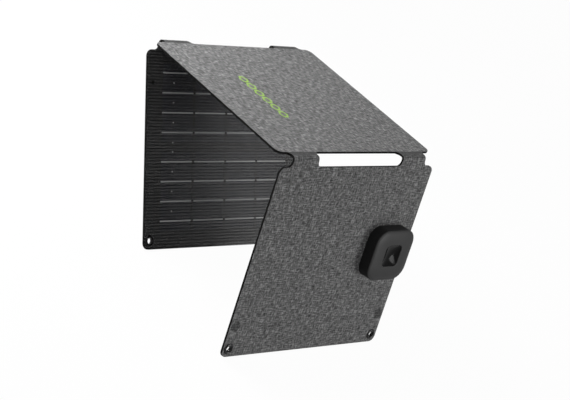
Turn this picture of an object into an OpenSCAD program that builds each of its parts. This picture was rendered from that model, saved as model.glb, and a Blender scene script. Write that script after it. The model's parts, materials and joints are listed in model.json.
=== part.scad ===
// Three-panel folding solar charger, standing open like an upturned U on its two free edges.
// The folds run along X and +Y points to the rear. The origin is on the floor, under the
// middle of the charger. Each panel is drawn flat, mid-plane at z = 0 and cloth side up,
// then turned about its fold lines.

/* [Panels] */
// Width of each panel, along the folds
panel_w = 230; // [190:1:300]
// Height of each panel, from fold to free edge
panel_h = 206; // [170:1:260]
// Radius of the panel corners
corner_r = 7; // [3:0.5:7]
// Thickness of the outer cloth
cloth_t = 0.6; // [0.4:0.1:1]
// Thickness of the stiffening board
board_t = 1.0; // [0.8:0.1:2]
// Thickness of the back sheet that the cells lie in
sheet_t = 0.5; // [0.4:0.1:1]
// Thickness of the clear front film
film_t = 0.2; // [0.1:0.05:0.4]

/* [Standing pose] */
// Bend of the front hinge band, from flat
front_bend = 81; // [65:1:95]
// Bend of the rear hinge band, from flat
rear_bend = 121; // [105:1:135]

/* [Hinge bands] */
// Flat length of the front band, between its two panels
front_gap = 15.6; // [13:0.1:20]
// Flat length of the rear band, between its two panels
rear_gap = 19; // [14:0.1:22]
// Inner edge of each band tab, from the centre line
tab_inner = 63.5; // [50:0.5:70]
// Outer edge of each band tab, from the centre line
tab_outer = 99; // [85:0.5:99]
// Clearance between a panel's hollow end and the round end of the band
fold_gap = 0.3; // [0.2:0.05:0.5]
// Clearance between the front and rear panels when both are folded
stack_gap = 0.5; // [0.3:0.1:1]
// Width of the flat cable inside the right-hand tabs
cable_w = 12; // [6:1:20]
// Thickness of the flat cable
cable_t = 0.4; // [0.2:0.1:0.6]

/* [Solar cells] */
// Bare border beside the cells
side_margin = 22; // [16:0.5:30]
// Bare border at the fold end
fold_margin = 13.5; // [10:0.5:20]
// Bare border at the other end
free_margin = 18.8; // [17:0.1:30]
// Gap between columns of cells
column_gap = 3.2; // [1:0.1:6]
// Gap between rows of cells
row_gap = 0.6; // [0.4:0.1:2]
// Gap between the two blocks of rows
block_gap = 10.4; // [4:0.1:16]
// Thickness of a cell
cell_t = 0.2; // [0.15:0.05:0.3]
// Width of the metal ribbon along each cell
ribbon_w = 1.4; // [0.8:0.1:3]
// Thickness of the ribbon
ribbon_t = 0.1; // [0.05:0.05:0.15]

/* [Eyelets and magnets] */
// Distance of the eyelets from the side edge
eyelet_side = 8; // [7:0.5:12]
// Distance of the eyelets from the free edge
eyelet_end = 9; // [7:0.5:14]
// Radius of the eyelet's hole
eyelet_bore_r = 3; // [2:0.1:4]
// Radius of the eyelet's flange
eyelet_flange_r = 6; // [4.5:0.1:6.5]
// Thickness of the eyelet's metal
eyelet_wall = 0.4; // [0.3:0.1:0.6]
// Radius of each magnet
magnet_r = 6; // [4:0.5:7]
// Distance of the magnets from the side edge
magnet_side = 8; // [8:0.5:12]
// Distance of the front panel's magnets from its free edge
magnet_end = 34; // [24:1:50]
// Clearance around a magnet or an eyelet's barrel
hole_gap = 0.1; // [0.05:0.05:0.3]

/* [Junction box] */
// Width of the box, along the folds
box_w = 58; // [54:1:70]
// Length of the box, down the panel
box_l = 57; // [54:1:70]
// Radius of the box's corners
box_r = 15; // [10:0.5:16]
// Height of the box above the cloth
box_h = 14.8; // [14:0.1:20]
// Thickness of the lid's plate
lid_t = 2.5; // [2:0.1:4]
// Wall of the base
wall_t = 1.8; // [1.4:0.1:2.5]
// Floor of the base
floor_t = 1.5; // [1.2:0.1:2.5]
// Distance of the box's centre from the right-hand edge
box_side = 37; // [34:1:60]
// Distance of the box's centre from the fold
box_from_fold = 95.6; // [50:0.1:130]
// Side of the square dish in the lid
dish_w = 24; // [16:0.5:26]
// Corner radius of the dish
dish_r = 5; // [2:0.5:8]
// Depth of the dish
dish_depth = 3.5; // [2:0.1:3.8]
// Thickness of the dish's own wall
dish_wall = 0.9; // [0.8:0.1:1.2]
// Distance of the screws from the box's centre lines
screw_at = 20; // [19:0.5:20.5]
// Radius of the screw's shank
screw_r = 1.1; // [0.8:0.1:1.4]
// Width of a charging socket
socket_w = 13.1; // [12.5:0.1:14]
// Height of a charging socket
socket_h = 5.7; // [5.2:0.1:5.8]
// Depth of a charging socket
socket_l = 14; // [10:0.5:14]
// Distance between the centres of the two sockets
socket_pitch = 17; // [15:0.5:18]
// Thickness of the circuit board
pcb_t = 1.2; // [1:0.1:1.6]
// Clearance around pieces inside the box
box_gap = 0.3; // [0.2:0.05:0.5]

/* [Hidden] */
$fn = 64;
over = 1;
panel_t = cloth_t + board_t + sheet_t + film_t;
liner_t = sheet_t + film_t;
cloth_z = panel_t/2;
board_z = cloth_z - cloth_t;
sheet_z = board_z - board_t;
film_z = sheet_z - sheet_t;

// Two fold lines per band stand for its even bend. The front band's are as far apart as the
// ends of a half circle of its length. The rear panel folds in first, inside the front one,
// so its fold lines are closer together.
front_link = 2*front_gap/PI;
rear_link = front_link - panel_t - stack_gap;
front_tongue = (front_gap - front_link)/2;
rear_tongue = (rear_gap - rear_link)/2;

// Fold lines and feet, as [y, z] in the middle panel's own frame
function along(p, reach, angle) = p + reach*[cos(angle), sin(angle)];
front_a = [-front_tongue, 0];
front_b = along(front_a, -front_link, front_bend/2);
rear_a = [panel_h + rear_tongue, 0];
rear_b = along(rear_a, rear_link, -rear_bend/2);
front_end = along(front_b, -(front_tongue + panel_h), front_bend);
rear_end = along(rear_b, rear_tongue + panel_h, -rear_bend);
front_foot = along(front_end, -panel_t/2, front_bend + 90);
rear_foot = along(rear_end, panel_t/2, 90 - rear_bend);
tilt = atan2(rear_foot[1] - front_foot[1], rear_foot[0] - front_foot[0]);

// The same points once the feet are level, and the middle of the charger's depth
function level(p) = [p[0]*cos(tilt) + p[1]*sin(tilt), p[1]*cos(tilt) - p[0]*sin(tilt)];
front_toe = level(along(front_end, panel_t/2, front_bend + 90));
box_toe = level(along(along(front_b, -(front_tongue + box_from_fold + box_l/2), front_bend),
                      panel_t/2 + box_h, front_bend + 90));
low_y = min(front_toe[0], box_toe[0]);
high_y = max(level(rear_a)[0], level(rear_b)[0]) + panel_t/2;
centre_y = (low_y + high_y)/2;
floor_z = level(front_foot)[1];

// Cell grid
columns = 4;
blocks = 2;
rows = 4;
cell_w = (panel_w - 2*side_margin - (columns - 1)*column_gap)/columns;
cell_h = (panel_h - fold_margin - free_margin - block_gap - blocks*(rows - 1)*row_gap)
         /(blocks*rows);
block_h = rows*cell_h + (rows - 1)*row_gap;
pocket_gap = 0.1;

// Eyelets, magnets and the box on a panel, as [x, y]
eyelet_x = panel_w/2 - eyelet_side;
eyelet_y = panel_h - eyelet_end;
barrel_r = eyelet_bore_r + eyelet_wall;
magnet_x = panel_w/2 - magnet_side;
front_magnet_y = panel_h - magnet_end;
rear_magnet_y = magnet_end;
box_x = panel_w/2 - box_side;
lead_r = 0.9;
lead_at = [14, 0];
lead_pitch = 4;

// Levels inside the box, above the cloth
base_h = box_h - lid_t;
ledge_w = 1.5;
ledge_h = 1;
pcb_z = floor_t + ledge_h;
socket_z = pcb_z + pcb_t;
boss_r = screw_r + 1.4;
boss_z = floor_t;
head_r = screw_r + 0.8;
head_h = 0.8;
screw_l = 6;
shank_gap = 0.05;
seal_w = 1;
seal_h = 0.8;
window_gap = 0.15;
window_edge = 0.5;
window_r = 26;
window_hollow = 1.9;
led_w = 2;
led_h = 1.2;
led_back = 8;
shell_t = 0.35;
shell_back = 2;
contact_w = 10;
contact_t = 1.6;
contact_l = 11;

// ---- Places ----

module stand() {
    translate([0, -centre_y, -floor_z]) rotate([-tilt, 0, 0]) children();
}

module at_front_band() {
    stand() translate([0, front_a[0], front_a[1]]) rotate([front_bend/2, 0, 0])
        mirror([0, 1, 0]) children();
}

module at_front() {
    stand() translate([0, front_b[0], front_b[1]]) rotate([front_bend, 0, 0])
        mirror([0, 1, 0]) translate([0, front_tongue, 0]) children();
}

module at_rear_band() {
    stand() translate([0, rear_a[0], rear_a[1]]) rotate([-rear_bend/2, 0, 0]) children();
}

module at_rear() {
    stand() translate([0, rear_b[0], rear_b[1]]) rotate([-rear_bend, 0, 0])
        translate([0, rear_tongue, 0]) children();
}

module at_box() {
    at_front() translate([box_x, box_from_fold, cloth_z]) children();
}

// ---- Flat outlines ----

module rounded_rect(w, l, r) {
    translate([r - w/2, 0]) square([w - 2*r, l]);
    translate([-w/2, r]) square([w, l - 2*r]);
    for (x = [r - w/2, w/2 - r], y = [r, l - r]) translate([x, y]) circle(r);
}

module rounded_square(w, l, r) {
    translate([0, -l/2]) rounded_rect(w, l, r);
}

// The slot between the tabs and the notches beside them, round-ended
module band_cuts(gap) {
    round_r = gap/2;
    slot_x = tab_inner - round_r;
    notch_x = tab_outer + round_r;
    translate([-slot_x, -gap]) square([2*slot_x, gap]);
    for (side = [-1, 1]) {
        for (x = [slot_x, notch_x]) translate([side*x, -round_r]) circle(round_r);
        translate([side > 0 ? notch_x : -notch_x - panel_w, -gap])
            square([panel_w, gap]);
    }
}

module tabs(gap, from, to) {
    flare = gap/2;
    for (side = [-1, 1])
        translate([side*(tab_inner + tab_outer)/2 - (tab_outer - tab_inner)/2 - flare, from])
            square([tab_outer - tab_inner + 2*flare, to - from]);
}

module end_panel_outline(gap, tongue) {
    difference() {
        union() {
            rounded_rect(panel_w, panel_h, corner_r);
            tabs(gap, -tongue, corner_r);
        }
        band_cuts(gap);
    }
}

module middle_outline() {
    difference() {
        union() {
            rounded_rect(panel_w, panel_h, corner_r);
            tabs(front_gap, -front_tongue, corner_r);
            tabs(rear_gap, panel_h - corner_r, panel_h + rear_tongue);
        }
        band_cuts(front_gap);
        translate([0, panel_h]) mirror([0, 1]) band_cuts(rear_gap);
    }
}

// ---- Layers ----

// A bar along X that clears the round end of a band, and the band itself when it is closed
module fold_bar(y) {
    bar_r = panel_t/2 + fold_gap;
    translate([-panel_w/2 - over, y, 0]) {
        rotate([0, 90, 0]) cylinder(r = bar_r, h = panel_w + 2*over);
        translate([0, -bar_r, -panel_t]) cube([panel_w + 2*over, 2*bar_r, panel_t]);
    }
}

module eyelet_places() {
    for (side = [-1, 1]) translate([side*eyelet_x, eyelet_y, 0]) children();
}

module magnet_places(y) {
    for (side = [-1, 1]) translate([side*magnet_x, y, 0]) children();
}

module hole(r) {
    translate([0, 0, -panel_t/2 - over]) cylinder(r = r, h = panel_t + 2*over);
}

module end_layer(top, thick, gap, tongue) {
    difference() {
        translate([0, 0, top - thick]) linear_extrude(thick) end_panel_outline(gap, tongue);
        fold_bar(-tongue);
        eyelet_places() hole(barrel_r + hole_gap);
    }
}

module middle_layer(top, thick) {
    difference() {
        translate([0, 0, top - thick]) linear_extrude(thick) middle_outline();
        fold_bar(-front_tongue);
        fold_bar(panel_h + rear_tongue);
    }
}

module cell_places() {
    for (c = [0 : columns - 1], b = [0 : blocks - 1], r = [0 : rows - 1])
        translate([side_margin - panel_w/2 + c*(cell_w + column_gap),
                   fold_margin + b*(block_h + block_gap) + r*(cell_h + row_gap), 0])
            children();
}

module cells() {
    cell_places() translate([0, 0, film_z + ribbon_t]) cube([cell_w, cell_h, cell_t]);
}

module ribbons() {
    cell_places() translate([0, (cell_h - ribbon_w)/2, film_z])
        cube([cell_w, ribbon_w, ribbon_t]);
}

module cell_pockets() {
    cell_places() translate([-pocket_gap, -pocket_gap, film_z - over])
        cube([cell_w + 2*pocket_gap, cell_h + 2*pocket_gap, over + ribbon_t + cell_t]);
}

module lead_places() {
    for (side = [-1, 1])
        translate([lead_at[0], lead_at[1] + side*lead_pitch/2, 0]) children();
}

module lead_holes() {
    translate([box_x, box_from_fold, 0]) lead_places() hole(lead_r + hole_gap);
}

module eyelets() {
    eyelet_places() difference() {
        union() {
            translate([0, 0, -panel_t/2]) cylinder(r = barrel_r, h = panel_t);
            for (z = [-panel_t/2 - eyelet_wall, panel_t/2])
                translate([0, 0, z]) cylinder(r = eyelet_flange_r, h = eyelet_wall);
        }
        hole(eyelet_bore_r);
    }
}

module magnets(y) {
    magnet_places(y) translate([0, 0, sheet_z]) cylinder(r = magnet_r, h = board_t);
}

// ---- Middle panel ----

module middle_cloth() {
    color([0.50, 0.50, 0.50]) stand() middle_layer(cloth_z, cloth_t);
}

module middle_board() {
    color([0.06, 0.06, 0.06]) stand() middle_layer(board_z, board_t);
}

module middle_back_sheet() {
    color([0.05, 0.05, 0.06]) stand() difference() {
        middle_layer(sheet_z, sheet_t);
        cell_pockets();
    }
}

module middle_cells() {
    color([0.05, 0.06, 0.10]) stand() cells();
}

module middle_ribbons() {
    color([0.75, 0.75, 0.76]) stand() ribbons();
}

module middle_film() {
    color([0.10, 0.10, 0.11]) stand() middle_layer(film_z, film_t);
}

// ---- Front panel ----

module front_cloth() {
    color([0.34, 0.34, 0.34]) at_front() difference() {
        end_layer(cloth_z, cloth_t, front_gap, front_tongue);
        lead_holes();
    }
}

module front_board() {
    color([0.06, 0.06, 0.06]) at_front() difference() {
        end_layer(board_z, board_t, front_gap, front_tongue);
        magnet_places(front_magnet_y) hole(magnet_r + hole_gap);
    }
}

module front_back_sheet() {
    color([0.05, 0.05, 0.06]) at_front() difference() {
        end_layer(sheet_z, sheet_t, front_gap, front_tongue);
        cell_pockets();
    }
}

module front_cells() {
    color([0.05, 0.06, 0.10]) at_front() cells();
}

module front_ribbons() {
    color([0.75, 0.75, 0.76]) at_front() ribbons();
}

module front_film() {
    color([0.10, 0.10, 0.11]) at_front() end_layer(film_z, film_t, front_gap, front_tongue);
}

module front_eyelets() {
    color([0.12, 0.12, 0.12]) at_front() eyelets();
}

module front_magnets() {
    color([0.70, 0.70, 0.72]) at_front() magnets(front_magnet_y);
}

// ---- Rear panel ----

module rear_cloth() {
    color([0.34, 0.34, 0.34]) at_rear() end_layer(cloth_z, cloth_t, rear_gap, rear_tongue);
}

module rear_board() {
    color([0.06, 0.06, 0.06]) at_rear() difference() {
        end_layer(board_z, board_t, rear_gap, rear_tongue);
        magnet_places(rear_magnet_y) hole(magnet_r + hole_gap);
    }
}

module rear_back_sheet() {
    color([0.05, 0.05, 0.06]) at_rear() difference() {
        end_layer(sheet_z, sheet_t, rear_gap, rear_tongue);
        cell_pockets();
    }
}

module rear_cells() {
    color([0.05, 0.06, 0.10]) at_rear() cells();
}

module rear_ribbons() {
    color([0.75, 0.75, 0.76]) at_rear() ribbons();
}

module rear_film() {
    color([0.10, 0.10, 0.11]) at_rear() end_layer(film_z, film_t, rear_gap, rear_tongue);
}

module rear_eyelets() {
    color([0.12, 0.12, 0.12]) at_rear() eyelets();
}

module rear_magnets() {
    color([0.70, 0.70, 0.72]) at_rear() magnets(rear_magnet_y);
}

// ---- Hinge bands ----

// The part of a band between its two fold lines, round about each, cut to one layer
module band_layer(gap, link, top, thick) {
    intersection() {
        rotate([90, 0, 90]) translate([0, 0, -panel_w/2]) linear_extrude(panel_w) union() {
            translate([0, -panel_t/2]) square([link, panel_t]);
            for (y = [0, link]) translate([y, 0]) circle(panel_t/2);
        }
        translate([0, 0, top - thick]) linear_extrude(thick) difference() {
            tabs(gap, -panel_t, link + panel_t);
            translate([0, (gap + link)/2]) band_cuts(gap);
        }
    }
}

module band_cable(link) {
    translate([(tab_inner + tab_outer - cable_w)/2, 0, -cable_t/2])
        cube([cable_w, link, cable_t]);
}

module band_core(gap, link) {
    difference() {
        band_layer(gap, link, board_z, board_t);
        band_cable(link);
    }
}

module front_band_cloth() {
    color([0.34, 0.34, 0.34]) at_front_band()
        band_layer(front_gap, front_link, cloth_z, cloth_t);
}

module front_band_core() {
    color([0.06, 0.06, 0.06]) at_front_band() band_core(front_gap, front_link);
}

module front_band_liner() {
    color([0.06, 0.06, 0.06]) at_front_band()
        band_layer(front_gap, front_link, sheet_z, liner_t);
}

module front_band_cable() {
    color([0.72, 0.45, 0.20]) at_front_band() band_cable(front_link);
}

module rear_band_cloth() {
    color([0.34, 0.34, 0.34]) at_rear_band()
        band_layer(rear_gap, rear_link, cloth_z, cloth_t);
}

module rear_band_core() {
    color([0.06, 0.06, 0.06]) at_rear_band() band_core(rear_gap, rear_link);
}

module rear_band_liner() {
    color([0.06, 0.06, 0.06]) at_rear_band()
        band_layer(rear_gap, rear_link, sheet_z, liner_t);
}

module rear_band_cable() {
    color([0.72, 0.45, 0.20]) at_rear_band() band_cable(rear_link);
}

// ---- Junction box ----

module screw_places() {
    for (x = [-screw_at, screw_at], y = [-screw_at, screw_at])
        translate([x, y, 0]) children();
}

module socket_places() {
    for (side = [-1, 1])
        translate([side*socket_pitch/2 - socket_w/2, box_l/2 - socket_l, socket_z]) children();
}

module box_base() {
    inner_w = box_w - 2*wall_t;
    inner_l = box_l - 2*wall_t;
    inner_r = box_r - wall_t;
    color([0.05, 0.05, 0.05]) at_box() difference() {
        linear_extrude(base_h) rounded_square(box_w, box_l, box_r);
        translate([0, 0, pcb_z]) linear_extrude(base_h)
            rounded_square(inner_w, inner_l, inner_r);
        translate([0, 0, floor_t]) linear_extrude(base_h) difference() {
            rounded_square(inner_w - 2*ledge_w, inner_l - 2*ledge_w, inner_r - ledge_w);
            screw_places() circle(boss_r + box_gap);
        }
        translate([0, 0, floor_t]) screw_places()
            cylinder(r = boss_r + box_gap, h = base_h);
        translate([0, 0, base_h - seal_h]) linear_extrude(base_h) difference() {
            rounded_square(inner_w + 2*seal_w, inner_l + 2*seal_w, inner_r + seal_w);
            rounded_square(inner_w - over, inner_l - over, inner_r - over/2);
        }
        screw_places() {
            translate([0, 0, -over]) cylinder(r = screw_r + hole_gap, h = base_h);
            translate([0, 0, -over]) cylinder(r = head_r + hole_gap, h = over + head_h);
        }
        lead_places() translate([0, 0, -over])
            cylinder(r = lead_r + hole_gap, h = base_h);
        socket_places() translate([-box_gap, 0, -box_gap])
            cube([socket_w + 2*box_gap, socket_l + over, socket_h + 2*box_gap]);
    }
}

module box_lid() {
    color([0.22, 0.22, 0.22]) at_box() difference() {
        union() {
            translate([0, 0, base_h]) linear_extrude(lid_t)
                rounded_square(box_w, box_l, box_r);
            translate([0, 0, box_h - dish_depth - dish_wall])
                linear_extrude(dish_depth + dish_wall - over)
                    rounded_square(dish_w + 2*dish_wall, dish_w + 2*dish_wall,
                                   dish_r + dish_wall);
            translate([0, 0, boss_z]) screw_places() cylinder(r = boss_r, h = base_h - boss_z);
        }
        translate([0, 0, box_h - dish_depth]) linear_extrude(dish_depth + over)
            rounded_square(dish_w, dish_w, dish_r);
        screw_places() translate([0, 0, boss_z - over])
            cylinder(r = screw_r + shank_gap, h = screw_l + over);
        led_place() translate([-led_w/2 - box_gap, -led_w/2 - box_gap, 0])
            cube([led_w + 2*box_gap, led_w + 2*box_gap, base_h]);
    }
}

module box_seal() {
    inner_w = box_w - 2*wall_t;
    inner_l = box_l - 2*wall_t;
    inner_r = box_r - wall_t;
    color([0.03, 0.03, 0.03]) at_box() translate([0, 0, base_h - seal_h])
        linear_extrude(seal_h) difference() {
            rounded_square(inner_w + 2*seal_w, inner_l + 2*seal_w, inner_r + seal_w);
            rounded_square(inner_w, inner_l, inner_r);
        }
}

// A smoked square window with a hollow, ball-shaped face
module dish_window() {
    color([0.08, 0.08, 0.09]) at_box() difference() {
        translate([0, 0, box_h - dish_depth]) linear_extrude(dish_depth - window_edge)
            rounded_square(dish_w - 2*window_gap, dish_w - 2*window_gap,
                           dish_r - window_gap);
        translate([0, 0, box_h - window_edge + window_r - window_hollow])
            sphere(r = window_r, $fn = 96);
    }
}

module led_place() {
    translate([0, -led_back, socket_z]) children();
}

module circuit_board() {
    inner_w = box_w - 2*(wall_t + box_gap);
    inner_l = box_l - 2*(wall_t + box_gap);
    color([0.05, 0.25, 0.12]) at_box() translate([0, 0, pcb_z]) linear_extrude(pcb_t)
        difference() {
            rounded_square(inner_w, inner_l, box_r - wall_t - box_gap);
            screw_places() circle(boss_r + box_gap);
            lead_places() circle(lead_r + hole_gap);
        }
}

// Coil, capacitor and converter chip
module board_parts() {
    color([0.18, 0.18, 0.19]) at_box() translate([0, 0, socket_z]) {
        translate([-14, -12, 0]) cylinder(r = 4, h = 4);
        translate([-3, -20, 0]) cylinder(r = 3.1, h = 5.4);
        translate([4, -18, 0]) cube([6, 6, 1]);
        translate([-18, 0, 0]) cube([5, 4, 1]);
    }
}

module status_led() {
    color([0.85, 0.95, 0.85]) at_box() led_place()
        translate([-led_w/2, -led_w/2, 0]) cube([led_w, led_w, led_h]);
}

// Two metal shells, each with its contact bar inside
module charging_sockets() {
    color([0.75, 0.75, 0.76]) at_box() socket_places() {
        difference() {
            cube([socket_w, socket_l, socket_h]);
            translate([shell_t, shell_back, shell_t])
                cube([socket_w - 2*shell_t, socket_l, socket_h - 2*shell_t]);
        }
        translate([(socket_w - contact_w)/2, shell_back - over, socket_h/2])
            cube([contact_w, contact_l, contact_t]);
    }
}

module lid_screws() {
    color([0.60, 0.60, 0.62]) at_box() screw_places() {
        cylinder(r = head_r, h = head_h);
        cylinder(r = screw_r, h = boss_z + screw_l - over);
    }
}

module panel_leads() {
    color([0.65, 0.10, 0.10]) at_box() lead_places() translate([0, 0, -cloth_t])
        cylinder(r = lead_r, h = cloth_t + socket_z + over);
}

middle_cloth();
middle_board();
middle_back_sheet();
middle_cells();
middle_ribbons();
middle_film();
front_cloth();
front_board();
front_back_sheet();
front_cells();
front_ribbons();
front_film();
front_eyelets();
front_magnets();
rear_cloth();
rear_board();
rear_back_sheet();
rear_cells();
rear_ribbons();
rear_film();
rear_eyelets();
rear_magnets();
front_band_cloth();
front_band_core();
front_band_liner();
front_band_cable();
rear_band_cloth();
rear_band_core();
rear_band_liner();
rear_band_cable();
box_base();
box_lid();
box_seal();
dish_window();
circuit_board();
board_parts();
status_led();
charging_sockets();
lid_screws();
panel_leads();
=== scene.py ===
import json
import math

import bpy
import numpy as np
from mathutils import Matrix, Vector
from mathutils.geometry import delaunay_2d_cdt


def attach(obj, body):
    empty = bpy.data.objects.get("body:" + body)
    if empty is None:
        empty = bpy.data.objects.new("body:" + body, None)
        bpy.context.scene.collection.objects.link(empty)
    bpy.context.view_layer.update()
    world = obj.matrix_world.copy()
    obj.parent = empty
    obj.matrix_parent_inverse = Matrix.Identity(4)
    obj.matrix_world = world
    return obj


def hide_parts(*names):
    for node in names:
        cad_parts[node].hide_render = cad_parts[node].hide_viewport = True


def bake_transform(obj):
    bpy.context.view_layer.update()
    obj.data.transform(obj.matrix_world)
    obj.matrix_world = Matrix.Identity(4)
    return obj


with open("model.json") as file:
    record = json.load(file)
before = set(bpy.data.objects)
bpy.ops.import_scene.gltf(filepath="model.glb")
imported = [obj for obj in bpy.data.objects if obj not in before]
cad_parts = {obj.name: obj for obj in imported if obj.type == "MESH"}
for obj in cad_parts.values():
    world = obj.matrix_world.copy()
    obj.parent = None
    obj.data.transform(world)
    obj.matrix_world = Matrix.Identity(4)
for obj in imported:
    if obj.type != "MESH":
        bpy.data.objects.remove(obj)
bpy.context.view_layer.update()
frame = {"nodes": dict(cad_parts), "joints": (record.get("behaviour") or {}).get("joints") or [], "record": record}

# ---- Sizes, in metres, the same as the model's ----

PANEL_W, PANEL_H, CORNER_R = 0.230, 0.206, 0.007
CLOTH_T, BOARD_T, SHEET_T, FILM_T = 0.0006, 0.0010, 0.0005, 0.0002
PANEL_T = CLOTH_T + BOARD_T + SHEET_T + FILM_T
CLOTH_Z = PANEL_T / 2
BOARD_Z = CLOTH_Z - CLOTH_T
SHEET_Z = BOARD_Z - BOARD_T
FILM_Z = SHEET_Z - SHEET_T
FRONT_GAP, REAR_GAP = 0.0156, 0.0190
TAB_INNER, TAB_OUTER, TAB_FILLET = 0.0635, 0.0990, 0.0054
TAB_FROM, TAB_TO = TAB_INNER - TAB_FILLET, TAB_OUTER + TAB_FILLET
SIDE_MARGIN, FOLD_MARGIN, FREE_MARGIN = 0.022, 0.0135, 0.0188
COLUMN_GAP, ROW_GAP, BLOCK_GAP = 0.0032, 0.0006, 0.0104
COLUMNS, BLOCKS, ROWS = 4, 2, 4
CELL_T, RIBBON_T, POCKET_GAP, POCKET_R = 0.0002, 0.0001, 0.0001, 0.0004
CELL_W = (PANEL_W - 2 * SIDE_MARGIN - (COLUMNS - 1) * COLUMN_GAP) / COLUMNS
CELL_H = (PANEL_H - FOLD_MARGIN - FREE_MARGIN - BLOCK_GAP
          - BLOCKS * (ROWS - 1) * ROW_GAP) / (BLOCKS * ROWS)
BLOCK_H = ROWS * CELL_H + (ROWS - 1) * ROW_GAP
EYELET_X, EYELET_Y = PANEL_W / 2 - 0.008, PANEL_H - 0.009
EYELET_BORE_R, EYELET_WALL, EYELET_FLANGE_R = 0.003, 0.0004, 0.006
HOLE_R = EYELET_BORE_R + EYELET_WALL + 0.0001
FILM_RISE, CLOTH_RISE = 0.0002, 0.00028
GLUE_T = 0.00015
MAGNET_X, MAGNET_R = PANEL_W / 2 - 0.008, 0.006
MAGNET_RINGS, MAGNET_CLEAR = (0.0045, 0.0056, 0.0062, 0.0068, 0.0074), 0.0085
MAGNET_Y = {"front": PANEL_H - 0.034, "rear": 0.034}    # the panels with magnets and eyelets
FOLDS = {"middle": (0, PANEL_H), "front": (0,), "rear": (0,)}    # where bands leave each panel
BOX_X, BOX_Y = PANEL_W / 2 - 0.037, 0.0956
CABLE_W, CABLE_T = 0.012, 0.0004
EDGE_ROUND = 0.0002
RIDGE_PITCH, RIDGE_DEPTH, DOT_PITCH = 0.00321, 0.00005, 0.0042
BOX_W, BOX_L, BOX_R, BOX_H = 0.058, 0.057, 0.015, 0.0148
LID_T, DISH_W, DISH_R, DISH_DEPTH, DISH_WALL = 0.0025, 0.024, 0.005, 0.0035, 0.0009
SCREW_AT, BOSS_R, BOSS_LOW = 0.020, 0.0025, 0.0015
LID_RIM, LID_LIP = 0.0005, 0.0006
X_AXIS = Vector((1, 0, 0))


# ---- Panel frames, from the record's joints and eyelets ----

def panel_frame(edge, along, start):
    """A panel: its edge's middle, its direction, its outward normal, and where it starts in the
    flat pattern, which runs from the front panel to the rear one."""
    u = along.normalized()
    n = X_AXIS.cross(u)
    return {"edge": edge, "u": u, "n": n, "start": start, "way": 1}


def make_panel_frames():
    fold = {j["name"]: Vector(j["pos_m"]) for j in frame["joints"]}
    foot = {m["name"]: Vector(m["pos_m"]) for m in frame["record"]["mounts"]}
    middle_line = fold["rear_band_fold"] - fold["front_band_fold"]
    front_tongue = (FRONT_GAP - (fold["front_panel_fold"] - fold["front_band_fold"]).length) / 2
    rear_tongue = (REAR_GAP - (fold["rear_panel_fold"] - fold["rear_band_fold"]).length) / 2
    front_foot = (foot["front_eyelet_left"] + foot["front_eyelet_right"]) / 2
    rear_foot = (foot["rear_eyelet_left"] + foot["rear_eyelet_right"]) / 2
    front_line = (front_foot - fold["front_panel_fold"]).normalized()
    rear_line = (rear_foot - fold["rear_panel_fold"]).normalized()
    middle = panel_frame(
        fold["front_band_fold"] + middle_line.normalized() * front_tongue, middle_line, 0)
    front = panel_frame(
        fold["front_panel_fold"] + front_line * front_tongue, front_line, -FRONT_GAP)
    front["n"], front["way"] = -front["n"], -1
    rear = panel_frame(
        fold["rear_panel_fold"] + rear_line * rear_tongue, rear_line, PANEL_H + REAR_GAP)
    return {"middle": middle, "front": front, "rear": rear}


PANELS = make_panel_frames()


def on_panel(name):
    """A function that puts (across, along, height above the mid-plane) in the row frame."""
    p = PANELS[name]
    return lambda x, v, h: p["edge"] + X_AXIS * x + p["u"] * v + p["n"] * h


def pattern_of(name):
    """A function from (across, along) to the place in the flat pattern."""
    p = PANELS[name]
    return lambda x, v: (x, p["start"] + p["way"] * v)


# ---- Mesh building ----

def new_mesh(name, verts, faces, materials, face_material=None, uv=None, sharp=35):
    mesh = bpy.data.meshes.new(name)
    mesh.from_pydata([tuple(v) for v in verts], [], faces)
    for m in materials:
        mesh.materials.append(m)
    if face_material:
        mesh.polygons.foreach_set("material_index", face_material)
    mesh.polygons.foreach_set("use_smooth", [True] * len(mesh.polygons))
    if uv:
        layer = mesh.uv_layers.new(name="flat")
        corner = np.array([uv[i] for p in mesh.polygons for i in p.vertices], np.float32)
        layer.uv.foreach_set("vector", corner.ravel())
    mesh.update()
    mesh.set_sharp_from_angle(angle=math.radians(sharp))
    obj = bpy.data.objects.new(name, mesh)
    bpy.context.scene.collection.objects.link(obj)
    return obj


def rounded_rect(w, l, r, centre=(0, 0), steps=8):
    """Counter-clockwise outline."""
    points = []
    for cx, cy, start in ((w / 2 - r, -l / 2 + r, -90), (w / 2 - r, l / 2 - r, 0),
                          (-w / 2 + r, l / 2 - r, 90), (-w / 2 + r, -l / 2 + r, 180)):
        for i in range(steps + 1):
            a = math.radians(start + 90 * i / steps)
            points.append((centre[0] + cx + r * math.cos(a), centre[1] + cy + r * math.sin(a)))
    return points


def circle(x, y, r, steps=32):
    return [(x + r * math.cos(2 * math.pi * i / steps), y + r * math.sin(2 * math.pi * i / steps))
            for i in range(steps)]


def split_edges(points, longest):
    """The outline with its long sides divided."""
    made = []
    for i, p in enumerate(points):
        q = points[(i + 1) % len(points)]
        n = max(1, math.ceil(math.dist(p, q) / longest))
        made += [(p[0] + (q[0] - p[0]) * k / n, p[1] + (q[1] - p[1]) * k / n) for k in range(n)]
    return made


def inward(points):
    """Unit normals of a counter-clockwise outline, pointing into it."""
    n = len(points)
    made = []
    for i in range(n):
        a, b = Vector(points[i - 1]), Vector(points[(i + 1) % n])
        d = (b - a).normalized()
        made.append((-d.y, d.x))
    return made


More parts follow.
